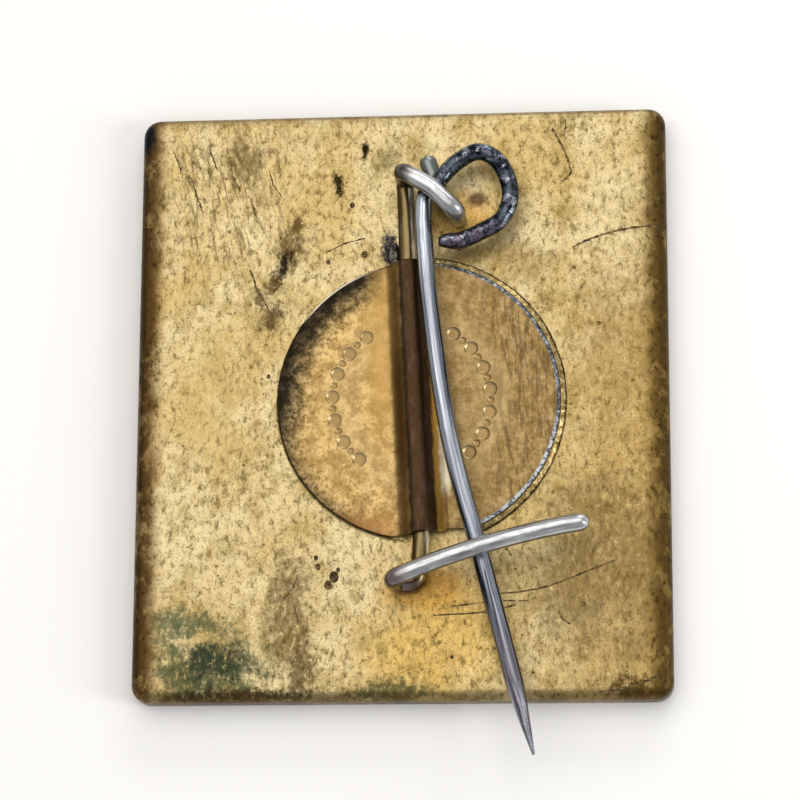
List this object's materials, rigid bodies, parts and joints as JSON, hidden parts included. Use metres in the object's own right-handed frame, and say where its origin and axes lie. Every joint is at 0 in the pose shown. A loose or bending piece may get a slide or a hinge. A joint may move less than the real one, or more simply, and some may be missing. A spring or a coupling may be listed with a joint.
{
  "type": "pin-back badge",
  "caption": "Small rectangular enamelled brass badge with a soldered fastener disc, a wire eye and catch, and a steel pin.",
  "frame": {"origin": "centre of the badge's front face, the flat enamelled face that it lies on", "axes": "+Z out of the back, towards the fastener; +Y along the plate's height towards the pin's hinge; +X towards the catch's free end"},
  "size_m": [0.024, 0.0296, 0.0048],
  "materials": {
    "gilt_brass": "worn gilt, fine pits and stains",
    "pressed_brass": "pressed sheet, satin, tarnished",
    "tinned_wire": "worn nickel plate over brass wire",
    "solder": "soft solder under thin gilt",
    "pin_steel": "drawn steel wire, blued at the loop",
    "blue_enamel": "hard enamel, stoned flat and polished",
    "ivory_enamel": "hard enamel, stoned flat and polished"
  },
  "bodies": {
    "badge": {"badge_plate": "gilt_brass", "enamel_upper_right": "blue_enamel", "enamel_upper_left": "blue_enamel", "enamel_lower_left": "blue_enamel", "enamel_lower_right": "blue_enamel", "enamel_middle": "ivory_enamel", "fastener_disc": "pressed_brass", "solder_seam_left": "solder", "solder_seam_right": "solder", "fastener_wire": "tinned_wire"},
    "pin": {"pin": "pin_steel"}
  },
  "joints": [
    {"name": "pin_swing", "type": "hinge", "parent": "badge", "child": "pin", "pos_m": [0.00264, 0.00819, 0.0028], "axis": [0, 0, 1], "range_deg": [-3, 35]}
  ]
}
